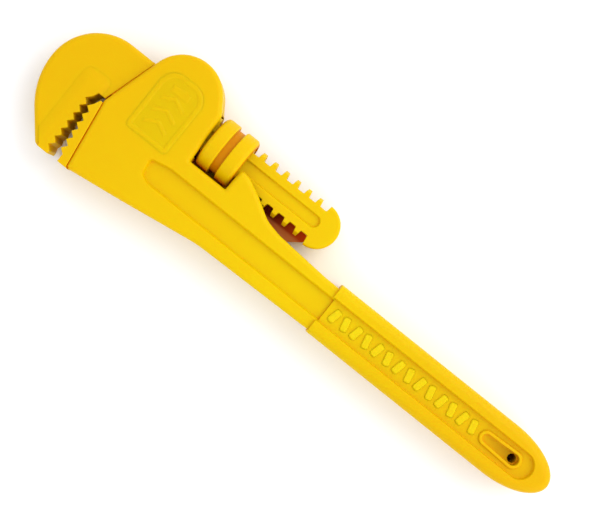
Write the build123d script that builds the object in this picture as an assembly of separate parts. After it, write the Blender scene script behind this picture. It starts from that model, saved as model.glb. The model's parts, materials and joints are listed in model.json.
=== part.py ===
from build123d import *
import os
from math import cos, radians, sin

os.makedirs("parts", exist_ok=True)

# A ten-inch pipe wrench in moulded plastic with steel fittings, drawn about its screw axis:
# +X runs along the handle to the hanging end, +Y from the jaws to the nut's open side, +Z up.
# Lengths in mm, angles in degrees. export_node moves every piece to the stated origin.

# overall extents
hook_tip_x = -77.7
grip_end_x = 178.8
mouth_y = -44.5
lobe_top_y = 22.0
rest_half = 11.2          # half thickness of the nut and the grip, which the wrench lies on

# handle shells: neck, housing and the tail inside the grip
shell_half = 10.0
rim_fillet = 2.0
soft_high_y = 9.6         # above this the housing's rim is rounded
soft_low_y = -34.0        # and below this, to the right of the heel
soft_low_x = -44.0
lobe_x = -27.5
lobe_radius = 16.0
seam_top = (-43.1, 9.4)
seam_bottom = (-49.9, -14.5)
heel_bottom = (-45.3, -44.3)
window_left_x = -8.95
window_right_x = 8.45
window_floor_y = -12.1
rack_clear_x = 36.0       # the open side reaches this far along the rack
cradle_radius = 12.1
guard_depth = 3.0
neck_end_x = 68.5
channel_half = 7.0
channel_floor_y = -11.6
channel_roof_y = 11.6
channel_step_x = -15.0
channel_neck_y = 9.9      # the narrower way out towards the nut
recess_depth = 1.9
recess_top_y = -18.8
recess_bottom_y = -29.5
recess_left_x = -21.8
recess_high_x = -13.0     # where the nose's slanted top ends
recess_low_x = -16.5
pocket_half = 5.4
pocket_low_y = -32.6
pocket_high_y = -15.4
pocket_starts = (-14.0, 9.0, 32.0)
pocket_length = 21.0
tail_half = 6.8
tail_low_y = -33.4
tail_high_y = -14.7
tail_end_x = 172.0
tail_corner = 7.0

# grip sleeve
grip_y = -24.05
grip_half_width = 11.55
grip_start_x = 67.6
grip_ellipse_x = 155.0
grip_fillet = 3.6
grip_recess_depth = 1.9
grip_recess_half = 5.75
grip_recess_end_x = 170.4

# hanging slot liners
slot_left_x = 146.4
slot_hole_x = 161.4
slot_left_radius = 1.8
slot_right_radius = 2.4
hang_hole_radius = 1.8
liner_wall = 1.25
liner_lip = 1.0
ramp_top = 1.2
ramp_depth = 4.4

# two-start thread shared by the nut and the hook jaw's shank
tooth_spacing = 5.65      # from one rack tooth to the next
thread_starts = 2
lead = thread_starts * tooth_spacing
crest_radius = 9.05
rack_floor_y = 6.0
rack_floor_half = 1.55
rack_top_half = 2.05
rack_corner = 0.5
rack_first_x = -7.8
rack_count = 10
shank_half = 5.0
bulb_x = 45.0
bulb_y = -0.5
bulb_radius = 9.4
shoulder_x = 43.7
shank_recess_half = 2.75
shank_recess_depth = 1.3
shank_recess_left_x = -40.0
shank_recess_right_x = 45.7

# adjusting nut
nut_left_x = -8.5
nut_right_x = 7.9
nut_groove_left_x = -2.1
nut_groove_right_x = 1.3
nut_groove_radius = 9.75
nut_bore_radius = 9.15
nut_rim_fillet = 2.0
nut_groove_fillet = 0.6
ridge_inner_radius = 8.3
ridge_crest_half = 0.4
ridge_root_half = 0.7
ridge_embed = 0.3
ridge_turns = 1.3
ridge_end_gap = 0.3

# hook jaw head
cheek_half = 7.2
cheek_fillet = 2.2
seam_gap_top = 0.35
seam_gap_bottom = 0.75
rebate_reach = 2.2
rebate_half = 6.7
rebate_low_y = -10.9
head_top_y = 9.3
head_arc_x = -55.3
head_arc_y = -13.1
chin_top = (-69.95, -34.0)
chin_bottom = (-61.2, -44.5)
chin_radius = 2.4
throat_y = -13.6
tongue_half = 3.0
tongue_half_width = 5.5
tongue_left_x = -65.0
root_half_width = 7.4
root_left_x = -54.0

# toothed jaws
tooth_pitch = 3.85
tooth_depth = 1.9
hook_teeth = 7
hook_tooth_start = (-54.7, -16.1)
hook_block_half = 8.2
hook_block_left_x = -60.0
hook_block_top_y = -10.4
hook_block_right_x = -53.6
hook_tenon_reach = 3.5
heel_teeth = 7
heel_tooth_top = (-53.9, -18.2)
heel_tilt = 6.6
heel_rear_tilt = 1.4
heel_rear_depth = 0.6      # the teeth's roots rise towards the rear
heel_half = 9.6
heel_head_y = -15.4
heel_back_x = -44.0
tenon_half = 4.0
tenon_length = 7.0
tenon_low_y = -38.0
tenon_high_y = -20.0
tenon_left_x = -50.5
tenon_neck_x = -48.0
jaw_pin_radius = 1.5
jaw_pin_x = -44.6
jaw_pin_cover = 2.5

# guide collar and its springs
collar_left_x = -39.0
collar_right_x = -16.0
collar_wall = 1.2
collar_side_gap = 0.2
pivot_radius = 2.0
pivot_gap = 0.05
pivot_end_z = 8.8
coil_x = -20.2
coil_radius = 2.8
coil_wire_radius = 0.4
coil_turns = 5
coil_top_y = 18.0
coil_clearance = 0.5
leaf_x = -34.0
leaf_half_length = 6.5
leaf_thickness = 0.4
leaf_half_width = 4.0
leaf_clearance = 0.3

# badges and screws
badge_low_y = -16.6
badge_high_y = 12.4
badge_left_x = -38.0
badge_right_x = -18.0
badge_depth = 0.5
badge_proud = 0.25
badge_gap = 0.1
badge_border = 1.6
badge_low_corner = 1.5
badge_high_corner = 7.0
screw_head_radius = 2.6
screw_head_height = 1.6
screw_radius = 1.3
screw_clear_radius = 1.6
head_clearance = 0.3
pilot_cover = 0.4         # solid plastic left over a shell screw's hole
screw_tip_gap = 0.2
hook_pilot_cover = 2.4
screw_sink = 2.0
cross_length = 2.6
cross_width = 0.6
cross_depth = 1.6
shell_screw_spots = (
    (-33.0, 16.4),
    (-36.0, -34.0),
    (-24.0, -32.0),
    (5.0, -24.2),
    (28.0, -24.2),
    (60.0, -24.2),
)
hook_screw_spots = ((-59.0, 0.0), (-71.5, -11.0), (-66.0, -31.0))
boss_radius = 3.2


def slab(face, low, high):
    """The extrusion of a flat face from one height to another."""
    return extrude(Pos(0, 0, low) * face, high - low)


def rod(x, y, radius, low, high):
    """A round bar parallel to Z."""
    return slab(Pos(x, y) * Circle(radius), low, high)


def block(left, right, low, high, bottom, top):
    """A rectangular block between six planes."""
    size = (right - left, high - low, top - bottom)
    middle = ((left + right) / 2, (low + high) / 2, (bottom + top) / 2)
    return Pos(*middle) * Box(*size)


def flipped(piece):
    """The same piece on the rear side of the wrench."""
    return mirror(piece, about=Plane.XY)


def seam_x(y):
    """Where the seam between the housing and the hook jaw lies at a given height."""
    slope = (seam_top[0] - seam_bottom[0]) / (seam_top[1] - seam_bottom[1])
    return seam_top[0] + slope * (y - seam_top[1])


def head_edge_x(y):
    """The hook jaw's side of the seam, a little clear of the housing so that it can rock."""
    share = (head_top_y - y) / (head_top_y - throat_y)
    return seam_x(y) - seam_gap_top - (seam_gap_bottom - seam_gap_top) * share


def top_edges(piece, height):
    """Edges that lie flat at one height."""
    return piece.edges().filter_by(lambda e: abs(e.bounding_box().min.Z - height) < 0.01
                                   and abs(e.bounding_box().max.Z - height) < 0.01)


def export_node(piece, name):
    """Move a piece to the origin under the middle of the wrench and write it."""
    shift = Pos(-(hook_tip_x + grip_end_x) / 2, -(mouth_y + lobe_top_y) / 2, rest_half)
    export_step(shift * piece, f"parts/{name}.step")


def tooth_points(start, down, out, count, depth):
    """Corner points of a straight row of V teeth, from the first root along 'down'."""
    points = []
    for i in range(count):
        points.append(start + down * (i * tooth_pitch))
        points.append(start + down * ((i + 0.5) * tooth_pitch) + out * depth)
    return points


def handle_face():
    """Outline of the neck and housing, seen from the front."""
    corners = [
        (seam_top, 0),
        ((-14.4, 15.2), 0),
        ((-10.3, 9.2), 2.0),
        ((window_left_x, window_floor_y), 0.6),
        ((window_right_x, window_floor_y), 0.6),
        ((8.8, -2.0), 1.4),
        ((13.0, -2.6), 6.0),
        ((20.0, -5.9), 20.0),
        ((29.0, -11.3), 14.0),
        ((36.0, -12.8), 20.0),
        ((60.0, -14.4), 40.0),
        ((neck_end_x, -14.5), 0),
        ((neck_end_x, -34.6), 0),
        ((13.0, -35.7), 60.0),
        ((-20.0, -40.8), 60.0),
        (heel_bottom, 1.0),
        (seam_bottom, 0.8),
    ]
    points = [point for point, _ in corners]
    radii = [radius for _, radius in corners]
    face = make_face(FilletPolyline(*points, radius=radii, close=True))
    return face + Pos(lobe_x, lobe_top_y - lobe_radius) * Circle(lobe_radius)


def recess_cut():
    """The long shallow recess in the neck's face, with sloping ends and sides."""
    points = (
        (neck_end_x + 2, recess_top_y),
        (recess_high_x, recess_top_y),
        (recess_left_x, recess_top_y - 1.9),
        (recess_left_x + 1.2, recess_bottom_y + 1.6),
        (recess_low_x, recess_bottom_y),
        (neck_end_x + 2, recess_bottom_y),
    )
    face = make_face(FilletPolyline(*points, radius=[0, 8, 1.6, 2.5, 4, 0], close=True))
    return extrude(Pos(0, 0, shell_half + 0.01) * face, -recess_depth, taper=20)


def channel_cut():
    """The space through the housing and beside the neck where the hook jaw slides."""
    through = block(seam_bottom[0] - 5, channel_step_x, channel_floor_y, channel_roof_y,
                    -channel_half, channel_half)
    through += block(channel_step_x - 1, 0, -channel_neck_y, channel_neck_y, -channel_half, channel_half)
    window = block(window_left_x, rack_clear_x, window_floor_y, lobe_top_y, -channel_half, channel_half)
    spring = Pos(coil_x, 0, 0) * Rot(-90, 0, 0) * Cylinder(
        coil_radius + coil_clearance, coil_top_y, align=(Align.CENTER, Align.CENTER, Align.MIN))
    leaf_end = leaf_half_length + leaf_clearance
    leaf_side = leaf_half_width + leaf_clearance
    leaf = block(leaf_x - leaf_end, leaf_x + leaf_end, channel_floor_y - leaf_thickness, 0,
                 -leaf_side, leaf_side)
    pivots = rod(lobe_x, 0, pivot_radius + pivot_gap, -pivot_end_z - 0.1, pivot_end_z + 0.1)
    return through + window + spring + leaf + pivots


def badge_face(inset):
    """Plain plaque outline with an arched top."""
    points = (
        (badge_left_x + inset, badge_low_y + inset),
        (badge_right_x - inset, badge_low_y + inset),
        (badge_right_x - inset, badge_high_y - inset),
        (badge_left_x + inset, badge_high_y - inset),
    )
    radii = [badge_low_corner, badge_low_corner, badge_high_corner, badge_high_corner]
    return make_face(FilletPolyline(*points, radius=radii, close=True))


def slot_face(grow):
    """Tapered outline of the hanging slot, grown outwards by an amount."""
    left = Pos(slot_left_x + slot_left_radius, grip_y) * Circle(slot_left_radius + grow)
    right = Pos(slot_hole_x, grip_y) * Circle(slot_right_radius + grow)
    return make_hull((left + right).edges())


def screw_holes(spots, head_z, tip_z, clear):
    """Holes for screws put in from the rear: clear ones in the rear piece, pilots in the front."""
    holes = Part()
    for x, y in spots:
        if clear:
            holes += rod(x, y, screw_clear_radius, head_z, 0)
            holes += rod(x, y, screw_head_radius + head_clearance, -rest_half - 1, head_z)
        else:
            holes += rod(x, y, screw_radius, 0, tip_z)
    return holes


def screw_head_level(y, half):
    """Height of the seat under a shell screw's head, deeper inside the neck's recess."""
    inside = recess_bottom_y < y < recess_top_y
    return -half + screw_sink + (recess_depth if inside else 0)


def screws(spots, half, tip_z):
    """Pan-head screws with a cross recess, one solid each."""
    group = []
    for x, y in spots:
        seat = screw_head_level(y, half) if half == shell_half else -half + screw_sink
        head = rod(x, y, screw_head_radius, seat - screw_head_height, seat)
        head = fillet(top_edges(head, seat - screw_head_height), 0.7)
        cross = Box(cross_length, cross_width, cross_depth) + Box(cross_width, cross_length, cross_depth)
        arms = Pos(x, y, seat - screw_head_height) * cross
        group.append(head + rod(x, y, screw_radius, seat, tip_z) - arms)
    return Compound(children=group)


def heel_face(tilt_angle, depth):
    """The heel jaw's section at one height, with its row of teeth at a tilt."""
    tilt = radians(tilt_angle)
    down = Vector(sin(tilt), -cos(tilt))
    out = Vector(-cos(tilt), -sin(tilt))
    teeth = tooth_points(Vector(*heel_tooth_top) - out * depth, down, out, heel_teeth, depth)[:-1]
    outline = [(heel_back_x, heel_head_y), (seam_bottom[0] - 0.9, heel_head_y)]
    outline += [(p.X, p.Y) for p in teeth]
    outline += [(teeth[-1].X, mouth_y + 0.2), (heel_back_x, mouth_y + 0.2)]
    return make_face(Polyline(*outline, close=True))


def heel_tenon():
    """The tongue that fixes the heel jaw between the shells."""
    points = (
        (tenon_left_x, tenon_high_y),
        (tenon_neck_x + tenon_length, tenon_high_y),
        (tenon_neck_x + tenon_length + 1, tenon_low_y),
        (tenon_neck_x, tenon_low_y),
    )
    return slab(make_face(Polyline(*points, close=True)), -tenon_half, tenon_half)


def heel_pin_spot():
    """Where the pin through the heel jaw's tongue stands."""
    return (jaw_pin_x, (tenon_low_y + tenon_high_y) / 2)


def tail_face(start_x):
    """Outline of the tail that fills the grip, from a given station."""
    points = (
        (start_x, tail_high_y),
        (tail_end_x, tail_high_y),
        (tail_end_x, tail_low_y),
        (start_x, tail_low_y),
    )
    return make_face(FilletPolyline(*points, radius=[0, tail_corner, tail_corner, 0], close=True))


def shell_front():
    """Front half of the handle, open at the split plane."""
    shell = slab(handle_face(), 0, shell_half)
    rim = top_edges(shell, shell_half)
    high = [e for e in rim if (e @ 0.5).Y > soft_high_y]
    low = [e for e in rim if (e @ 0.5).Y < soft_low_y and (e @ 0.5).X > soft_low_x]
    shell = fillet(high + low, rim_fillet)
    shell -= recess_cut()
    shell += slab(tail_face(neck_end_x - 0.5), 0, tail_half)
    shell -= channel_cut()
    for start in pocket_starts:
        shell -= block(start, start + pocket_length, pocket_low_y, pocket_high_y, 0, pocket_half)
    for x, y in shell_screw_spots:
        if recess_bottom_y < y < recess_top_y:
            shell += rod(x, y, boss_radius, 0, pocket_half + 0.5)
    shell -= heel_tenon()
    shell -= rod(*heel_pin_spot(), jaw_pin_radius, -shell_half, shell_half - jaw_pin_cover)
    shell -= slab(badge_face(0), shell_half - badge_depth, shell_half + 1)
    shell -= slab(slot_face(liner_wall), -1, tail_half + 1)
    return shell


def handle_front_shell():
    """Front half of the handle with blind pilots for the screws."""
    return shell_front() - screw_holes(shell_screw_spots, 0, pocket_half - pilot_cover, False)


def nut_cradle():
    """Fills the window's floor behind the nut with a round saddle."""
    saddle = block(window_left_x - 0.5, window_right_x + 0.5, window_floor_y - 0.5, 0, -shell_half, 0)
    return saddle - Rot(0, 90, 0) * Cylinder(cradle_radius, 3 * window_right_x)


def rack_guard():
    """Thin rear wall that closes the gap between the rack and the neck."""
    points = (
        (window_right_x, -2.0),
        (28.0, -3.5),
        (45.0, -6.2),
        (45.0, -9.0),
        (38.0, -14.0),
        (window_right_x, -14.0),
    )
    face = make_face(FilletPolyline(*points, radius=[1.4, 12, 1.0, 1.2, 0, 0], close=True))
    return slab(face, -shell_half, -shell_half + guard_depth)


def handle_rear_shell():
    """Rear half of the handle, with the nut's cradle and the rack's guard."""
    shell = flipped(shell_front()) + nut_cradle() + rack_guard()
    for x, y in shell_screw_spots:
        shell -= screw_holes([(x, y)], screw_head_level(y, shell_half), 0, True)
    return shell


def grip_face(inset):
    """Outline of the grip: straight sides and a half-ellipse end."""
    half = grip_half_width - inset
    length = grip_end_x - grip_ellipse_x - inset
    body = Pos((grip_start_x + grip_ellipse_x) / 2, grip_y) * Rectangle(
        grip_ellipse_x - grip_start_x, 2 * half)
    return body + Pos(grip_ellipse_x, grip_y) * Ellipse(length, half)


def grip_sleeve():
    """The thick sleeve over the tail, with a long recess in its front face."""
    sleeve = slab(grip_face(0), -rest_half, rest_half)
    faces = top_edges(sleeve, rest_half) + top_edges(sleeve, -rest_half)
    sleeve = fillet([e for e in faces if (e @ 0.5).X > grip_start_x + 0.5], grip_fillet)
    recess = Pos((grip_start_x + grip_recess_end_x) / 2 - 5, grip_y) * SlotOverall(
        grip_recess_end_x - grip_start_x + 10, 2 * grip_recess_half)
    sleeve -= extrude(Pos(0, 0, rest_half + 0.01) * recess, -grip_recess_depth, taper=12)
    sleeve -= slab(tail_face(grip_start_x - 1), -tail_half, tail_half)
    sleeve -= slab(handle_face(), -shell_half, shell_half)
    return sleeve - slab(slot_face(liner_wall), -rest_half - 1, rest_half + 1)


def hang_liner(outer_z, sloped):
    """One half of the slot's liner, with the through hole at the wide end."""
    liner = slab(slot_face(liner_wall), 0, outer_z)
    liner = fillet(top_edges(liner, outer_z), 0.45)
    if sloped:
        ramp = slab(slot_face(0), outer_z - ramp_depth, outer_z + 1)
        low_x = slot_hole_x - hang_hole_radius / 2
        floor = make_face(Polyline(
            (slot_left_x - 1, outer_z - ramp_top), (low_x, outer_z - ramp_depth),
            (low_x, outer_z - ramp_depth - 2), (slot_left_x - 1, outer_z - ramp_depth - 2), close=True))
        ramp -= extrude(Pos(0, grip_y, 0) * Rot(90, 0, 0) * floor, 10, both=True)
        liner -= ramp
    return liner - rod(slot_hole_x, grip_y, hang_hole_radius, -1, outer_z + 1)


def badge():
    """A plain plaque with a raised border."""
    plaque = slab(badge_face(badge_gap), shell_half - badge_depth, shell_half + badge_proud)
    plaque = fillet(top_edges(plaque, shell_half + badge_proud), 0.2)
    return plaque - slab(badge_face(badge_border), shell_half, shell_half + 1)


def heel_jaw():
    """The fixed toothed block on the housing."""
    front = Pos(0, 0, heel_half) * heel_face(heel_tilt, tooth_depth)
    rear = Pos(0, 0, -heel_half) * heel_face(heel_rear_tilt, heel_rear_depth)
    jaw = loft([rear, front], ruled=True)
    jaw -= slab(handle_face(), -heel_half, heel_half)
    jaw += heel_tenon()
    return jaw - rod(*heel_pin_spot(), jaw_pin_radius, -heel_half, heel_half)


def heel_jaw_pin():
    """The pin that holds the heel jaw between the shells."""
    reach = shell_half - jaw_pin_cover
    return rod(*heel_pin_spot(), jaw_pin_radius, -reach, reach)


def rack_valley(x, side):
    """One straight valley across an edge of the shank."""
    floor = side * rack_floor_y
    top = side * (crest_radius + 1.5)
    rise = (crest_radius + 1.5 - rack_floor_y) / (crest_radius - rack_floor_y)
    half = rack_floor_half + (rack_top_half - rack_floor_half) * rise
    points = ((x - rack_floor_half, floor), (x + rack_floor_half, floor), (x + half, top), (x - half, top))
    face = make_face(FilletPolyline(*points, radius=[rack_corner, rack_corner, 0, 0], close=True))
    return slab(face, -shank_half - 1, shank_half + 1)


def shank_face():
    """Outline of the shank's straight part."""
    points = (
        (head_edge_x(crest_radius), crest_radius),
        (shoulder_x, crest_radius),
        (shoulder_x, -crest_radius),
        (head_edge_x(-crest_radius), -crest_radius),
    )
    return make_face(Polyline(*points, close=True))


def hook_shank():
    """The racked bar that carries the hook jaw, with a bulb that stops the nut."""
    bar = slab(shank_face(), -shank_half, shank_half)
    round_bar = Rot(0, 90, 0) * Cylinder(crest_radius, 2 * shoulder_x + 20)
    bar = bar & round_bar
    bulb = rod(bulb_x, bulb_y, bulb_radius, -shank_half, shank_half)
    bulb -= block(bulb_x - 20, shoulder_x, -20, 20, -20, 20)
    bulb = fillet([e for e in top_edges(bulb, shank_half) + top_edges(bulb, -shank_half)
                   if (e @ 0.5).X > shoulder_x + 1], 1.0)
    bar += bulb
    for i in range(rack_count):
        x = rack_first_x + i * tooth_spacing
        bar -= rack_valley(x, 1)
        bar -= rack_valley(x, -1)
    length = shank_recess_right_x - shank_recess_left_x
    groove = Pos((shank_recess_right_x + shank_recess_left_x) / 2, 0) * SlotOverall(
        length, 2 * shank_recess_half)
    sink = extrude(Pos(0, 0, shank_half + 0.01) * groove, -shank_recess_depth, taper=20)
    bar -= sink
    bar -= flipped(sink)
    bar += tongue()
    return bar - rod(*hook_screw_spots[0], screw_clear_radius, -shank_half, shank_half)


def tongue():
    """The stepped end of the shank that the two cheeks clamp."""
    root = block(root_left_x, seam_top[0] - 2, -root_half_width, root_half_width, -shank_half, shank_half)
    tip = block(tongue_left_x, root_left_x + 1, -tongue_half_width, tongue_half_width,
                -tongue_half, tongue_half)
    root &= slab(head_face(), -shank_half, shank_half)
    return root + tip


def head_face():
    """Outline of the hook jaw's D-shaped head."""
    top_start = (head_edge_x(head_top_y), head_top_y)
    throat_end = (head_edge_x(throat_y), throat_y)
    top = Line(top_start, (head_arc_x, head_top_y))
    crown = TangentArc(top @ 1, (hook_tip_x, head_arc_y), tangent=(-1, 0))
    brow = TangentArc(crown @ 1, chin_top, tangent=(0, -1))
    rest = FilletPolyline(
        brow @ 1, chin_bottom, (hook_block_left_x, mouth_y), (hook_block_left_x, hook_block_top_y),
        (hook_block_right_x, hook_block_top_y), (hook_block_right_x, throat_y), throat_end,
        top_start, radius=[chin_radius, 0, 2.5, 1.5, 0, 0])
    return make_face([top, crown, brow] + rest.edges())


def rebate():
    """The thin edge of a cheek that reaches under the housing's lip."""
    points = (
        (head_edge_x(head_top_y) - 1, head_top_y),
        (head_edge_x(head_top_y) + rebate_reach, head_top_y),
        (head_edge_x(rebate_low_y) + rebate_reach, rebate_low_y),
        (head_edge_x(rebate_low_y) - 1, rebate_low_y),
    )
    return slab(make_face(Polyline(*points, close=True)), 0, rebate_half)


def front_cheek():
    """Front half of the hook jaw's head."""
    cheek = slab(head_face(), 0, cheek_half)
    rim = top_edges(cheek, cheek_half)
    soft = [e for e in rim if (e @ 0.5).Y > head_top_y - 0.1 or (e @ 0.5).X < hook_block_left_x - 0.5]
    cheek = fillet(soft, cheek_fillet) + rebate()
    cheek -= tongue()
    cheek -= slab(shank_face(), -shank_half, shank_half)
    cheek -= hook_tenon()
    return cheek


def hook_front_cheek():
    """Front cheek with blind pilots for the screws."""
    return front_cheek() - screw_holes(hook_screw_spots, 0, cheek_half - hook_pilot_cover, False)


def hook_rear_cheek():
    """Rear cheek with holes over the screws' heads."""
    return flipped(front_cheek()) - screw_holes(hook_screw_spots, -cheek_half + screw_sink, 0, True)


def hook_tenon():
    """The tongue that fixes the toothed block between the cheeks."""
    return block(hook_block_left_x - hook_tenon_reach, hook_block_left_x + 1, tenon_low_y, tenon_high_y,
                 -tongue_half, tongue_half)


def hook_teeth_block():
    """The toothed block of the hook jaw, a little proud of the cheeks."""
    start = Vector(*hook_tooth_start)
    down = Vector(0, -1)
    out = Vector(-1, 0)
    points = [(hook_block_left_x, mouth_y), (hook_block_left_x, hook_block_top_y),
              (hook_block_right_x, hook_block_top_y), (hook_block_right_x, throat_y - 0.5)]
    points += [(p.X, p.Y) for p in tooth_points(start, down, out, hook_teeth, tooth_depth)]
    points += [(start.X, start.Y - hook_teeth * tooth_pitch), (start.X, mouth_y)]
    radii = [0.8, 2.5, 1.5] + [0] * (len(points) - 3)
    face = make_face(FilletPolyline(*points, radius=radii, close=True))
    jaw = slab(face, -hook_block_half, hook_block_half)
    soft = [e for e in top_edges(jaw, hook_block_half) + top_edges(jaw, -hook_block_half)
            if (e @ 0.5).X < hook_block_left_x + 0.9 or (e @ 0.5).Y > hook_block_top_y - 1.5]
    return fillet(soft, 0.7) + hook_tenon()


def adjusting_nut():
    """Two plain rims with a groove between them and a two-start thread inside."""
    across = Rot(0, 90, 0)
    length = nut_right_x - nut_left_x
    body = across * Cylinder(rest_half, length)
    body = Pos((nut_left_x + nut_right_x) / 2, 0, 0) * body
    groove_length = nut_groove_right_x - nut_groove_left_x
    ring = across * (Cylinder(rest_half + 1, groove_length) - Cylinder(nut_groove_radius, groove_length))
    body -= Pos((nut_groove_left_x + nut_groove_right_x) / 2, 0, 0) * ring
    ends = body.edges().filter_by(GeomType.CIRCLE).filter_by(lambda e: e.radius > rest_half - 0.1)
    outside = ends.sort_by(Axis.X)
    body = fillet([outside[0], outside[-1]], nut_rim_fillet)
    inner = body.edges().filter_by(GeomType.CIRCLE).filter_by(lambda e: e.radius > rest_half - 0.1)
    near_groove = [e for e in inner if nut_groove_left_x - 0.1 < e.center().X < nut_groove_right_x + 0.1]
    body = fillet(near_groove, nut_groove_fillet)
    body -= across * Cylinder(nut_bore_radius, 2 * length)
    inside = across * Cylinder(rest_half, length - 2 * ridge_end_gap)
    ridge = thread_ridge() & (Pos((nut_left_x + nut_right_x) / 2, 0, 0) * inside)
    for i in range(thread_starts):
        body += Rot(i * 360 / thread_starts, 0, 0) * ridge
    return body


def thread_ridge():
    """One helical ridge inside the nut."""
    start = Plane(origin=(rack_first_x, 0, 0), x_dir=(0, 1, 0), z_dir=(1, 0, 0))
    path = start.location * Helix(pitch=lead, height=lead * ridge_turns, radius=nut_bore_radius)
    outer = nut_bore_radius + ridge_embed
    section = make_face(Polyline(
        (ridge_inner_radius, -ridge_crest_half), (outer, -ridge_root_half),
        (outer, ridge_root_half), (ridge_inner_radius, ridge_crest_half), close=True))
    upright = Plane(origin=(rack_first_x, 0, 0), x_dir=(0, 1, 0), z_dir=(0, 0, 1))
    return sweep(upright.location * section, path=path, is_frenet=True)


def guide_collar():
    """The sleeve that lets the shank slide, and rocks with it in the housing."""
    inner_y = crest_radius + collar_side_gap
    inner_z = shank_half + collar_side_gap
    collar = block(collar_left_x, collar_right_x, -inner_y - collar_wall, inner_y + collar_wall,
                   -inner_z - collar_wall, inner_z + collar_wall)
    collar = fillet(collar.edges().filter_by(Axis.X), 0.8)
    collar -= block(collar_left_x - 1, collar_right_x + 1, -inner_y, inner_y, -inner_z, inner_z)
    return collar - rod(lobe_x, 0, pivot_radius, -channel_half, channel_half)


def pivot_pins():
    """The two trunnions that the collar rocks on."""
    front = rod(lobe_x, 0, pivot_radius, shank_half + collar_side_gap, pivot_end_z)
    front = chamfer(top_edges(front, pivot_end_z), 0.3)
    return Compound(children=[front, flipped(front)])


def coil_spring():
    """Compression spring between the collar and the housing."""
    low_y = crest_radius + collar_side_gap + collar_wall + coil_wire_radius
    height = coil_top_y - coil_wire_radius - low_y
    path = Helix(pitch=height / coil_turns, height=height, radius=coil_radius)
    section = Plane(origin=path @ 0, z_dir=path % 0) * Circle(coil_wire_radius)
    coil = sweep(section, path=path, is_frenet=True)
    return Pos(coil_x, low_y, 0) * Rot(-90, 0, 0) * coil


def flat_spring():
    """Bowed leaf between the collar's foot and the housing floor."""
    crown_y = -(crest_radius + collar_side_gap + collar_wall) - 0.02
    foot_y = channel_floor_y - leaf_thickness + 0.02
    upper = ThreePointArc((leaf_x - leaf_half_length, foot_y + leaf_thickness), (leaf_x, crown_y),
                          (leaf_x + leaf_half_length, foot_y + leaf_thickness))
    lower = ThreePointArc((leaf_x + leaf_half_length, foot_y), (leaf_x, crown_y - leaf_thickness),
                          (leaf_x - leaf_half_length, foot_y))
    ends = [Line(upper @ 1, lower @ 0), Line(lower @ 1, upper @ 0)]
    return slab(make_face([upper, ends[0], lower, ends[1]]), -leaf_half_width, leaf_half_width)


shell_screw_tip_z = pocket_half - pilot_cover - screw_tip_gap
hook_screw_tip_z = cheek_half - hook_pilot_cover - screw_tip_gap

nodes = {
    "handle_front_shell": handle_front_shell,
    "handle_rear_shell": handle_rear_shell,
    "shell_screws": lambda: screws(shell_screw_spots, shell_half, shell_screw_tip_z),
    "grip_sleeve": grip_sleeve,
    "hang_liner_front": lambda: hang_liner(rest_half - grip_recess_depth + liner_lip, True),
    "hang_liner_rear": lambda: flipped(hang_liner(rest_half - 0.3, False)),
    "front_badge": badge,
    "rear_badge": lambda: flipped(badge()),
    "heel_jaw": heel_jaw,
    "heel_jaw_pin": heel_jaw_pin,
    "guide_collar": guide_collar,
    "pivot_pins": pivot_pins,
    "coil_spring": coil_spring,
    "flat_spring": flat_spring,
    "hook_shank": hook_shank,
    "hook_front_cheek": hook_front_cheek,
    "hook_rear_cheek": hook_rear_cheek,
    "hook_teeth": hook_teeth_block,
    "hook_screws": lambda: screws(hook_screw_spots, cheek_half, hook_screw_tip_z),
    "adjusting_nut": adjusting_nut,
}

for name, make in nodes.items():
    export_node(make(), name)
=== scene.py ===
import json
import math

import bmesh
import bpy
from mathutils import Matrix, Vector


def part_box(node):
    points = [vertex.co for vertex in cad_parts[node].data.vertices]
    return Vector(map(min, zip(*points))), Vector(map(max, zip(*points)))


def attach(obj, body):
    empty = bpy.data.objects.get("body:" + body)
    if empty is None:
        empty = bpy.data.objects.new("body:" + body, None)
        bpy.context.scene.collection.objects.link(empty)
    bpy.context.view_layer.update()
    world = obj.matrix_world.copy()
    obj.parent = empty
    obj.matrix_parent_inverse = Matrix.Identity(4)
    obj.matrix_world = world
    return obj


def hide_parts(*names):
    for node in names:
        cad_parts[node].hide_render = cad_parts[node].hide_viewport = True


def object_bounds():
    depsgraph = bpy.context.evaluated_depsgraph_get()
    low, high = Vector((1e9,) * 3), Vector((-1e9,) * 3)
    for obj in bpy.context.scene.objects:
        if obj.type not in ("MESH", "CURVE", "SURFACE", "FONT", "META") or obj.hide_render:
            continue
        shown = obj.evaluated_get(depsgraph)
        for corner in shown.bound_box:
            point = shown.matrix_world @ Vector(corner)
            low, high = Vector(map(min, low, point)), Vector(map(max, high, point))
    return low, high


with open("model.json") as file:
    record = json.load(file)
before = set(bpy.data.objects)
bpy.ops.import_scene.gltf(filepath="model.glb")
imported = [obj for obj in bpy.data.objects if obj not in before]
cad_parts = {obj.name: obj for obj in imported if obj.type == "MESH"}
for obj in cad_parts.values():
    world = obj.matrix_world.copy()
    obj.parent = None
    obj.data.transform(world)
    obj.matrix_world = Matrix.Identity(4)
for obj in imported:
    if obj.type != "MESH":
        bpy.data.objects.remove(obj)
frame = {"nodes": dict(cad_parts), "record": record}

cadLow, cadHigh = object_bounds()

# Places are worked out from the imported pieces, in metres, about the screw axis.
mm = 0.001  # a piece's sizes are given in mm, and the floor, lamps and camera height in metres
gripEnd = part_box("grip_sleeve")[1].x
nutLow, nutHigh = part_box("adjusting_nut")
axisHeight = (nutLow.z + nutHigh.z) / 2
axisY = (nutLow.y + nutHigh.y) / 2
nutToGripEnd = 178.8  # from the nut's middle to the grip's end
axisX = gripEnd - nutToGripEnd * mm


def place(x, y, z=0.0):
    return Vector((axisX + x * mm, axisY + y * mm, axisHeight + z * mm))


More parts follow.
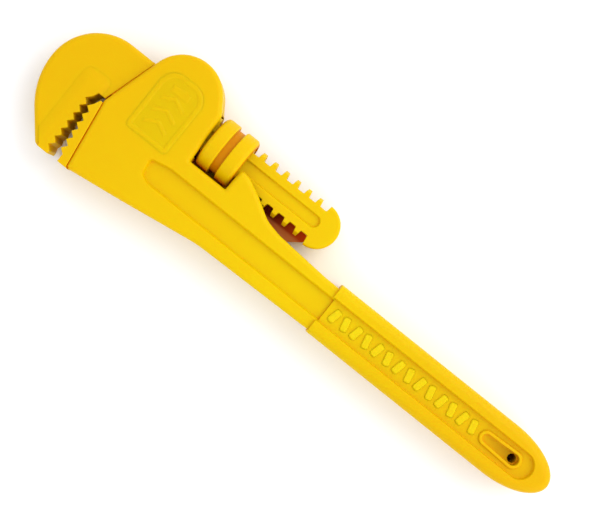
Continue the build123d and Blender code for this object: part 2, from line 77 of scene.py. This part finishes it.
class Wire:
    def __init__(self, tree, socket):
        self.tree, self.socket = tree, socket

    def math(self, operation, other, swapped=False):
        node = self.tree.nodes.new("ShaderNodeMath")
        node.operation = operation
        first, second = (other, self) if swapped else (self, other)
        for slot, value in zip(node.inputs, (first, second)):
            if isinstance(value, Wire):
                self.tree.links.new(value.socket, slot)
            elif value is not None:
                slot.default_value = value
        return Wire(self.tree, node.outputs[0])

    def __add__(self, other):
        return self.math("ADD", other)

    __radd__ = __add__

    def __mul__(self, other):
        return self.math("MULTIPLY", other)

    __rmul__ = __mul__

    def __sub__(self, other):
        return self.math("SUBTRACT", other)

    def __rsub__(self, other):
        return self.math("SUBTRACT", other, swapped=True)


class Nodes:
    def __init__(self, tree):
        self.tree = tree

    def node(self, kind, settings=None, output=0, **sockets):
        # A socket is named with _ for a space, or by its number, as in _0.
        made = self.tree.nodes.new(kind)
        for key, value in (settings or {}).items():
            if key == "stops":
                self.setStops(made.color_ramp, value)
            else:
                setattr(made, key, value)
        for key, value in sockets.items():
            number = key[1:]
            target = made.inputs[int(number) if number.isdigit() else key.replace("_", " ")]
            if isinstance(value, Wire):
                self.tree.links.new(value.socket, target)
            elif isinstance(value, bpy.types.NodeSocket):
                self.tree.links.new(value, target)
            else:
                target.default_value = value
        wire = Wire(self.tree, made.outputs[output])
        wire.node = made
        return wire

    def setStops(self, ramp, stops):
        while len(ramp.elements) < len(stops):
            ramp.elements.new(1.0)
        for element, (position, colour) in zip(ramp.elements, stops):
            element.position, element.color = position, linear(*colour)


class Finish(Nodes):
    def __init__(self, name):
        self.material = bpy.data.materials.new(name)
        self.material.use_nodes = True
        super().__init__(self.material.node_tree)
        self.shader = self.tree.nodes["Principled BSDF"]
        self.place = self.node("ShaderNodeTexCoord").node.outputs["Object"]

    def noise(self, scale, detail, stretch=(1, 1, 1)):
        spot = self.node("ShaderNodeMapping", Vector=self.place, Scale=stretch)
        return self.node("ShaderNodeTexNoise", Vector=spot, Scale=scale, Detail=detail)

    def range(self, value, low, high):
        return value * (high - low) + low

    def ramp(self, value, low, high):
        # 0 below low, 1 above high, and smooth between them.
        return self.node("ShaderNodeMapRange", {"interpolation_type": "SMOOTHSTEP"}, Value=value,
                         From_Min=low, From_Max=high)

    def mix(self, factor, first, second):
        return self.node("ShaderNodeMix", {"data_type": "RGBA"}, output=2,
                         _0=factor, _6=first, _7=second)

    def feed(self, name, value):
        if isinstance(value, Wire):
            self.tree.links.new(value.socket, self.shader.inputs[name])
        else:
            self.shader.inputs[name].default_value = value


def linear(red, green, blue):
    def one(value):
        value /= 255
        return value / 12.92 if value < 0.04045 else ((value + 0.055) / 1.055) ** 2.4
    return (one(red), one(green), one(blue), 1)


# Moulded plastic with a little mottle. Painted light: its tone is lighter about the neck and grip
# and darker at the head and the grip's end, where less light falls, and painted shade makes it
# darker and more orange where surfaces crowd together.
plastic = {
    "tones": ((0.07, (217, 173, 0)), (0.24, (218, 178, 0)), (0.39, (219, 183, 0)),
              (0.55, (219, 187, 0)), (0.74, (214, 177, 0)), (1.0, (214, 168, 0))),
    "tonesFrom": -80.0,
    "tonesTo": 190.0,
    "tonesSlant": 0.6,  # how far the tones lean across the handle
    "mottle": 45.0,
    "mottleDetail": 3.0,
    "mottleDepth": 0.10,
    "mottleTone": (206, 158, 0),
    "shadeReach": 2.4,  # painted shade darkens surfaces nearer than this to each other
    "shadeSamples": 8,
    "paintedShades": ((0.04, (236, 140, 1)), (0.30, (236, 158, 1)),
               (0.60, (234, 176, 1)), (0.85, (232, 190, 1))),
    "shadeFrom": 0.40,
    "shadeTo": 0.85,
    "grainScale": 2600.0,
    "grainDetail": 2.0,
    "grainDepth": 0.010,
    "rippleScale": 110.0,
    "rippleDetail": 2.0,
    "rippleDepth": 0.05,
    "roughLow": 0.36,
    "roughHigh": 0.50,
    "specular": 0.07,
    "glow": 0.35,  # how much light passes a little way through the plastic
    "glowReach": 3.0,
    "glowColours": (1.0, 0.55, 0.06),
    "softEdge": 0.45,  # how far the moulded edges are rounded off
    "edgeSamples": 6,
}
# The raised pads in the grip are a touch paler, and the same painted light darkens them towards
# the grip's end.
raisedPlastic = {**plastic, "tones": ((0.55, (229, 198, 12)), (1.0, (225, 188, 6)))}
# Painted shade on the guard's inner face behind the rack: dull dark red deep under the rack,
# lighter towards the shank's end, and pale pink along its outer rim.
guardShadePlastic = {
    **plastic,
    "paintedShadeHeight": -7.0,
    "paintedShadeBand": 0.12,
    "paintedShadeDark": (92, 8, 0),
    "paintedShadeLight": (214, 84, 18),
    "paintedShadeFrom": 20.0,
    "paintedShadeTo": 44.0,
    "paintedShadeRim": (226, 142, 84),
    "rimFrom": -10.8,
    "rimTo": -9.0,
}
# Painted shade: the nut's groove and bore are brown, for the shade down in them.
nutPlastic = {**plastic, "grooveShadeRadius": 10.0, "grooveShadeEdge": 0.7, "grooveShade": (200, 126, 0)}


def makePlastic(name, values):
    finish = Finish(name)
    spot = finish.node("ShaderNodeSeparateXYZ", Vector=finish.place).node.outputs
    spotX, spotY, spotZ = (Wire(finish.tree, socket) for socket in spot)
    line = spotX - spotY * values["tonesSlant"]
    zero = place(0, 0).x - place(0, 0).y * values["tonesSlant"]
    along = finish.node("ShaderNodeMapRange", Value=line,
                        From_Min=zero + values["tonesFrom"] * mm,
                        From_Max=zero + values["tonesTo"] * mm)
    tone = finish.node("ShaderNodeValToRGB", {"stops": values["tones"]}, Fac=along)
    cloud = finish.noise(values["mottle"], values["mottleDetail"])
    tone = finish.mix(cloud * values["mottleDepth"], tone, linear(*values["mottleTone"]))
    # Painted shade and painted bounced light: the colour turns darker and more orange where other
    # surfaces are near, as in creases, seams and recesses.
    shadeOcclusion = finish.node("ShaderNodeAmbientOcclusion", {"samples": values["shadeSamples"]},
                        output=1, Distance=values["shadeReach"] * mm)
    shade = finish.node("ShaderNodeValToRGB", {"stops": values["paintedShades"]}, Fac=shadeOcclusion)
    openness = finish.ramp(shadeOcclusion, values["shadeFrom"], values["shadeTo"])
    skin = finish.mix(openness, shade, tone)
    # Painted shade in a thin band at the height of the guard's face under the rack.
    if "paintedShadeHeight" in values:
        level = place(0, 0, values["paintedShadeHeight"]).z
        away = (spotZ - level).math("ABSOLUTE", None)
        clear = finish.ramp(away, values["paintedShadeBand"] * mm, 2 * values["paintedShadeBand"] * mm)
        reach = finish.ramp(spotX, place(values["paintedShadeFrom"], 0).x,
                            place(values["paintedShadeTo"], 0).x)
        guardShadeColour = finish.mix(reach, linear(*values["paintedShadeDark"]), linear(*values["paintedShadeLight"]))
        inward = finish.ramp(spotY, place(0, values["rimFrom"]).y,
                             place(0, values["rimTo"]).y)
        guardShadeColour = finish.mix(inward, linear(*values["paintedShadeRim"]), guardShadeColour)
        skin = finish.mix(clear, guardShadeColour, skin)
    # Painted shade inside the nut's groove and bore, within this radius of the screw axis.
    if "grooveShadeRadius" in values:
        side = spotY - axisY
        rise = spotZ - axisHeight
        radius = (side * side + rise * rise).math("SQRT", None)
        clear = finish.ramp(radius, values["grooveShadeRadius"] * mm,
                            (values["grooveShadeRadius"] + values["grooveShadeEdge"]) * mm)
        skin = finish.mix(clear, linear(*values["grooveShade"]), skin)
    finish.feed("Base Color", skin)
    grain = finish.noise(values["grainScale"], values["grainDetail"])
    ripple = finish.noise(values["rippleScale"], values["rippleDetail"])
    finish.feed("Roughness", finish.range(grain, values["roughLow"], values["roughHigh"]))
    edge = finish.node("ShaderNodeBevel", {"samples": values["edgeSamples"]},
                       Radius=values["softEdge"] * mm)
    fine = finish.node("ShaderNodeBump", Height=grain, Strength=1.0,
                       Distance=values["grainDepth"] * mm, Normal=edge)
    both = finish.node("ShaderNodeBump", Height=ripple, Strength=1.0,
                       Distance=values["rippleDepth"] * mm, Normal=fine)
    finish.feed("Normal", both)
    finish.feed("Specular IOR Level", values["specular"])
    finish.feed("Subsurface Weight", values["glow"])
    finish.feed("Subsurface Radius", values["glowColours"])
    finish.feed("Subsurface Scale", values["glowReach"] * mm)
    return finish.material


# The screws, pins and springs: steel with fine brush marks along the handle.
steel = {
    "clean": (176, 178, 182),
    "dull": (138, 138, 142),
    "brushScale": 900.0,
    "brushDetail": 3.0,
    "brushStretch": (0.06, 1, 1),
    "brushDepth": 0.01,
    "roughLow": 0.25,
    "roughHigh": 0.42,
}


def makeSteel(name, values):
    finish = Finish(name)
    brush = finish.noise(values["brushScale"], values["brushDetail"], values["brushStretch"])
    finish.feed("Base Color", finish.mix(brush, linear(*values["dull"]), linear(*values["clean"])))
    finish.feed("Metallic", 1.0)
    finish.feed("Roughness", finish.range(brush, values["roughLow"], values["roughHigh"]))
    finish.feed("Normal", finish.node("ShaderNodeBump", Height=brush, Strength=1.0,
                                      Distance=values["brushDepth"] * mm))
    return finish.material


yellowPlastic = makePlastic("yellowPlastic", plastic)
palePlastic = makePlastic("palePlastic", raisedPlastic)
special = {
    "handle_rear_shell": makePlastic("guardShadeFinish", guardShadePlastic),
    "adjusting_nut": makePlastic("nutPlastic", nutPlastic),
}
brightSteel = makeSteel("brightSteel", steel)
steelNodes = {part["node"] for part in frame["record"]["subparts"]
              if part["material_slot"] == "bright_steel"}
for nodeName, item in frame["nodes"].items():
    chosen = brightSteel if nodeName in steelNodes else special.get(nodeName, yellowPlastic)
    item.data.materials.clear()
    item.data.materials.append(chosen)
print("finishes set on", len(frame["nodes"]), "pieces")


def smooth(value, low, high):
    share = min(max((value - low) / (high - low), 0.0), 1.0)
    return share * share * (3 - 2 * share)


def makeObject(name, mesh, material):
    mesh.materials.clear()
    mesh.materials.append(material)
    made = bpy.data.objects.new(name, mesh)
    bpy.context.scene.collection.objects.link(made)
    return made


def closedSheets(name, rows, columns, point, material):
    # Two facing sheets of rows x columns points, stitched along their rims into one closed skin.
    mesh = bpy.data.meshes.new(name)
    shape = bmesh.new()
    sheets = []
    for side in (1, -1):
        sheets.append([[shape.verts.new(point(row, column, side)) for column in range(columns)]
                       for row in range(rows)])
    for sheet in sheets:
        for row in range(rows - 1):
            for column in range(columns - 1):
                shape.faces.new((sheet[row][column], sheet[row][column + 1],
                                 sheet[row + 1][column + 1], sheet[row + 1][column]))

    def rim(sheet):
        loop = list(sheet[0])
        loop += [row[-1] for row in sheet[1:]]
        loop += list(reversed(sheet[-1][:-1]))
        loop += [row[0] for row in reversed(sheet[1:-1])]
        return loop

    front, back = rim(sheets[0]), rim(sheets[1])
    for index in range(len(front)):
        following = (index + 1) % len(front)
        shape.faces.new((front[index], front[following], back[following], back[index]))
    bmesh.ops.recalc_face_normals(shape, faces=shape.faces)
    shape.to_mesh(mesh)
    shape.free()
    return makeObject(name, mesh, material)


# The hook jaw's toothed block, with a soft raised pad that runs out over both cheeks.
toothPad = {
    "left": -60.0,
    "top": -10.4,
    "mouth": -44.5,
    "tipLine": -54.7,
    "firstTip": -16.1,
    "pitch": 3.85,
    "depth": 1.9,
    "rearDepth": 0.6,
    "teeth": 7,
    "throatX": -53.6,
    "throatY": -13.62,
    "throatSoft": 0.8,
    "throatStep": 0.001,
    "right": -50.9,
    "high": 7.8,
    "cheek": 7.2,
    "blend": 5.5,
    "blendIn": 0.6,  # how far the blend reaches into the pad's flat top
    "sunk": 0.12,
    "margin": 0.5,  # cheek covered past the blend
    "chinX": -69.95,  # the left edge keeps chinGap off the cheek's rounded chin
    "chinY": -34.0,
    "chinSlope": 0.833,
    "chinGap": 2.4,
    "leftMost": 0.4,
    "columns": 30,
    "step": 0.35,
    "stepGap": 0.1,  # rows are no closer than this to a tooth's tip or valley
    "lip": 0.01,
}


def toothPadRight(y, depth):
    if y > toothPad["throatY"] + toothPad["throatStep"]:
        return toothPad["right"]
    if y > toothPad["firstTip"]:
        share = (toothPad["throatY"] - y) / (toothPad["throatY"] - toothPad["firstTip"])
        return toothPad["throatX"] + (toothPad["tipLine"] - toothPad["throatX"]) * share
    if y < toothPad["firstTip"] - toothPad["teeth"] * toothPad["pitch"]:
        return toothPad["tipLine"]
    phase = ((toothPad["firstTip"] - y) / toothPad["pitch"]) % 1.0
    return toothPad["tipLine"] - depth * (1 - abs(2 * phase - 1))


def toothPadLeft(y):
    chin = toothPad["chinX"] + (toothPad["chinY"] - y) * toothPad["chinSlope"]
    spread = toothPad["left"] - toothPad["blend"] - toothPad["margin"]
    return min(max(spread, chin + toothPad["chinGap"]), toothPad["left"] + toothPad["leftMost"])


def toothPadHeight(x, y):
    left, top, inside = toothPad["left"], toothPad["top"], toothPad["blendIn"]
    inLeft = smooth(x, left - toothPad["blend"], left + inside)
    inTop = 1 - smooth(y, top - inside, top + toothPad["blend"])
    inRight = 1.0
    if y >= toothPad["throatY"]:
        inRight -= smooth(x, toothPad["throatX"] - toothPad["throatSoft"], toothPad["right"])
    low = toothPad["cheek"] - toothPad["sunk"]
    return low + (toothPad["high"] - low) * inLeft * inTop * inRight


def toothPadLevels():
    # Rows at every tip, valley and corner, with even steps between them.
    throat = toothPad["throatY"]
    top = toothPad["top"] + toothPad["blend"] + toothPad["blendIn"]
    levels = {toothPad["mouth"], throat, throat + toothPad["lip"], top}
    levels |= {toothPad["firstTip"] - index * toothPad["pitch"] / 2
               for index in range(2 * toothPad["teeth"] + 1)}
    y = toothPad["mouth"]
    while y < top:
        if min(abs(y - other) for other in levels) > toothPad["stepGap"]:
            levels.add(y)
        y += toothPad["step"]
    return sorted(levels)


def makeToothPad():
    levels = toothPadLevels()

    def point(row, column, side):
        y = levels[row]
        share = column / (toothPad["columns"] - 1)
        right = toothPadRight(y, toothPad["depth"] if side == 1 else toothPad["rearDepth"])
        x = toothPadLeft(y) + (right - toothPadLeft(y)) * share
        return place(x, y, side * toothPadHeight(x, y))

    made = closedSheets("toothPad", len(levels), toothPad["columns"], point, yellowPlastic)
    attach(made, "hook_jaw")
    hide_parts("hook_teeth")


makeToothPad()
print("tooth pad made")

# The two housing plaques: a soft border and plain chevrons.
plaque = {
    "left": -38.0,
    "right": -18.0,
    "low": -16.6,
    "high": 12.4,
    "corner": 2.0,
    "arch": 7.5,
    "border": 2.3,
    "rise": 0.24,
    "markRise": 0.22,
    "soft": 0.6,
    "overlap": 0.35,  # hides the seam round the plaque
    "skim": 0.012,
    "chevrons": (-10.5, -5.0, 0.5),
    "chevronWidth": 1.5,
    "chevronReach": 5.2,
    "chevronDrop": 2.6,
    "barLow": 4.6,
    "barHigh": 7.6,
    "barInset": 1.2,  # the bar is shorter than the chevrons by this at each end
    "outline": 0.05,
    "hem": 0.1,  # the sheet turns down over this width at its rim
    "hemDrop": 0.3,
    "step": 0.25,
    "face": 10.0,
    "pocket": 0.45,
}


def plaqueDistance(x, y):
    # Signed distance to the arched outline, negative inside.
    middle = (plaque["left"] + plaque["right"]) / 2
    centre = (plaque["low"] + plaque["high"]) / 2
    corner = plaque["arch"] if y > centre else plaque["corner"]
    across = abs(x - middle) - (plaque["right"] - plaque["left"]) / 2 + corner
    along = abs(y - centre) - (plaque["high"] - plaque["low"]) / 2 + corner
    return math.hypot(max(across, 0), max(along, 0)) + min(max(across, along), 0) - corner


def plaqueRise(x, y):
    soft = plaque["soft"]
    distance = plaqueDistance(x, y)
    inner = smooth(-distance, plaque["border"] - soft, plaque["border"])
    border = smooth(-distance, 0, soft) * (1 - inner)
    away = abs(x - (plaque["left"] + plaque["right"]) / 2)
    mark = 0.0
    for low in plaque["chevrons"]:
        line = low + plaque["chevronDrop"] * (1 - away / plaque["chevronReach"])
        edge = plaque["chevronWidth"] / 2 - abs(y - line)
        end = plaque["chevronReach"] - away
        mark = max(mark, smooth(min(edge, end), -soft / 2, soft / 2))
    bar = min(plaque["barHigh"] - y, y - plaque["barLow"],
              plaque["chevronReach"] - plaque["barInset"] - away)
    mark = max(mark, smooth(bar, -soft / 2, soft / 2))
    inside = smooth(-distance, -plaque["outline"], plaque["outline"])
    rise = plaque["skim"] + inside * (plaque["rise"] * border + plaque["markRise"] * mark)
    hem = smooth(distance, plaque["overlap"] - plaque["hem"], plaque["overlap"])
    return rise - hem * plaque["hemDrop"]


def plaquePiece(name, front, node):
    left, right = plaque["left"] - plaque["overlap"], plaque["right"] + plaque["overlap"]
    low, high = plaque["low"] - plaque["overlap"], plaque["high"] + plaque["overlap"]
    rows = int((high - low) / plaque["step"]) + 1
    columns = int((right - left) / plaque["step"]) + 1

    def point(row, column, side):
        x = left + (right - left) * column / (columns - 1)
        y = low + (high - low) * row / (rows - 1)
        rise = plaqueRise(x, y) if side == 1 else -plaque["pocket"]
        return place(x, y, front * (plaque["face"] + rise))

    made = closedSheets(name, rows, columns, point, yellowPlastic)
    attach(made, "handle")
    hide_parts(node)


plaquePiece("frontPlaque", 1, "front_badge")
plaquePiece("rearPlaque", -1, "rear_badge")
print("plaques made")

# The row of raised pads in the grip's recess, leaning one way and the other in turn.
gripPads = {
    "count": 14,
    "start": 72.6,
    "end": 141.4,
    "middle": -23.95,
    "width": 3.1,
    "height": 6.3,
    "corner": 0.9,
    "rise": 0.55,
    "taper": 0.80,
    "slant": 13.0,
    "floor": 9.3,
    "sunk": 0.02,
    "cornerPoints": 5,
    "weld": 0.00001,
}


def gripPadTree(material):
    tree = bpy.data.node_groups.new("gripPadRow", "GeometryNodeTree")
    tree.interface.new_socket("Geometry", in_out="OUTPUT", socket_type="NodeSocketGeometry")
    kinds = {"Count": "NodeSocketInt", "Start": "NodeSocketVector", "End": "NodeSocketVector"}
    for label in ("Count", "Start", "End", "Width", "Height", "Corner", "Rise", "Taper", "Slant"):
        kind = kinds.get(label, "NodeSocketFloat")
        tree.interface.new_socket(label, in_out="INPUT", socket_type=kind)
    given = tree.nodes.new("NodeGroupInput").outputs
    result = tree.nodes.new("NodeGroupOutput")
    node = Nodes(tree).node

    # One pad: a rounded outline, filled, raised and narrowed towards its top.
    outline = node("GeometryNodeCurvePrimitiveQuadrilateral",
                   Width=given["Width"], Height=given["Height"])
    rounded = node("GeometryNodeFilletCurve", {"mode": "POLY"}, Curve=outline,
                   Radius=given["Corner"], Count=gripPads["cornerPoints"])
    flat = node("GeometryNodeFillCurve", {"mode": "NGONS"}, Curve=rounded)
    raised = node("GeometryNodeExtrudeMesh", {"mode": "FACES"}, Individual=False, Mesh=flat,
                  Offset_Scale=given["Rise"])
    tapered = node("GeometryNodeScaleElements", {"domain": "FACE"}, Geometry=raised,
                   Selection=raised.node.outputs["Top"], Scale=given["Taper"])
    base = node("GeometryNodeFlipFaces", Mesh=flat)
    shut = node("GeometryNodeJoinGeometry", Geometry=tapered)
    tree.links.new(base.socket, shut.node.inputs[0])
    welded = node("GeometryNodeMergeByDistance", Geometry=shut, Distance=gripPads["weld"])

    # The row: every second pad leans the other way.
    line = node("GeometryNodeMeshLine", {"mode": "END_POINTS"}, Count=given["Count"],
                Start_Location=given["Start"], Offset=given["End"])
    lean = node("GeometryNodeInputIndex").math("PINGPONG", 1.0) * 2.0 - 1.0
    turn = node("ShaderNodeCombineXYZ", Z=lean * Wire(tree, given["Slant"]))
    spread = node("GeometryNodeInstanceOnPoints", Points=line, Instance=welded, Rotation=turn)
    real = node("GeometryNodeRealizeInstances", _0=spread)
    finish = node("GeometryNodeSetMaterial", Geometry=real, Material=material)
    tree.links.new(finish.socket, result.inputs[0])
    return tree


def grown(name, tree, values, material):
    # Runs a node tree once and keeps its result as a plain mesh.
    carrier = makeObject(name + "Tree", bpy.data.meshes.new(name + "Empty"), yellowPlastic)
    live = carrier.modifiers.new("tree", "NODES")
    live.node_group = tree
    for item in tree.interface.items_tree:
        if item.in_out == "INPUT":
            live[item.identifier] = values[item.name]
    bpy.context.view_layer.update()
    graph = bpy.context.evaluated_depsgraph_get()
    mesh = bpy.data.meshes.new_from_object(carrier.evaluated_get(graph))
    carrier.modifiers.remove(live)
    bpy.data.objects.remove(carrier)
    mesh.name = name
    return makeObject(name, mesh, material)


def makeGripPads():
    values = gripPads
    level = values["floor"] - values["sunk"]
    made = grown("gripPads", gripPadTree(palePlastic), {
        "Count": values["count"],
        "Start": place(values["start"], values["middle"], level),
        "End": place(values["end"], values["middle"], level),
        "Width": values["width"] * mm,
        "Height": values["height"] * mm,
        "Corner": values["corner"] * mm,
        "Rise": values["rise"] * mm,
        "Taper": values["taper"],
        "Slant": math.radians(values["slant"]),
    }, palePlastic)
    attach(made, "handle")


makeGripPads()
print("grip pads made")

# A pale floor, a bright even sky and two soft lamps.
studio = {
    "floorSize": 3.0,
    "floorColour": (250, 251, 255),
    "floorRoughness": 0.7,
    "skyPower": 1.05,
    "skyTop": 0.9,  # share of the sky's light straight overhead
    "skyTopEdge": 0.88,
    "skySideEdge": 0.66,
    "keyPower": 4.5,
    "keySize": 0.8,
    "keyPlace": (0.40, 0.55, 0.70),
    "fillPower": 2.0,
    "fillSize": 0.7,
    "fillPlace": (0.75, -0.5, 0.6),
    "lampTarget": (0.05, 0, 0),
}


def makeFloor():
    half = studio["floorSize"] / 2
    corners = [(-half, -half, 0), (half, -half, 0), (half, half, 0), (-half, half, 0)]
    mesh = bpy.data.meshes.new("floor")
    mesh.from_pydata(corners, [], [(0, 1, 2, 3)])
    finish = Finish("paleFloor")
    finish.feed("Base Color", linear(*studio["floorColour"]))
    finish.feed("Roughness", studio["floorRoughness"])
    floor = makeObject("floor", mesh, finish.material)
    floor.location.z = cadLow.z


def makeSky():
    # A little dimmer overhead, so that the flat faces don't mirror it.
    world = bpy.data.worlds.new("studio")
    bpy.context.scene.world = world
    world.use_nodes = True
    nodes = Nodes(world.node_tree)
    toward = nodes.node("ShaderNodeTexCoord").node.outputs["Generated"]
    height = nodes.node("ShaderNodeSeparateXYZ", Vector=toward).node.outputs["Z"]
    power = nodes.node("ShaderNodeMapRange", Value=height,
                       From_Min=studio["skySideEdge"], From_Max=studio["skyTopEdge"],
                       To_Min=studio["skyPower"], To_Max=studio["skyPower"] * studio["skyTop"])
    sky = world.node_tree.nodes["Background"]
    sky.inputs["Color"].default_value = (1, 1, 1, 1)
    world.node_tree.links.new(power.socket, sky.inputs["Strength"])


def areaLight(name):
    data = bpy.data.lights.new(name, "AREA")
    data.size, data.energy = studio[name + "Size"], studio[name + "Power"]
    lamp = bpy.data.objects.new(name, data)
    lamp.location = studio[name + "Place"]
    toward = Vector(studio["lampTarget"]) - Vector(studio[name + "Place"])
    lamp.rotation_euler = toward.to_track_quat("-Z", "Y").to_euler()
    bpy.context.scene.collection.objects.link(lamp)


makeFloor()
makeSky()
areaLight("key")
areaLight("fill")

# The camera looks straight down, turned so that the wrench lies corner to corner.
camera = {
    "turn": 38.7,
    "across": 47.85,
    "up": -17.74,
    "height": 0.562,
    "lens": 85.0,
    "sensor": 36.0,
    "nearest": 0.01,
}


def makeCamera():
    data = bpy.data.cameras.new("camera")
    data.lens = camera["lens"]
    data.sensor_width = camera["sensor"]
    data.clip_start = camera["nearest"]
    made = bpy.data.objects.new("camera", data)
    spot = place(camera["across"], camera["up"])
    made.location = (spot.x, spot.y, camera["height"])
    made.rotation_euler = (0, 0, math.radians(camera["turn"]))
    bpy.context.scene.collection.objects.link(made)
    bpy.context.scene.camera = made
    bpy.context.scene.view_settings.view_transform = "Standard"


makeCamera()
print("studio set")
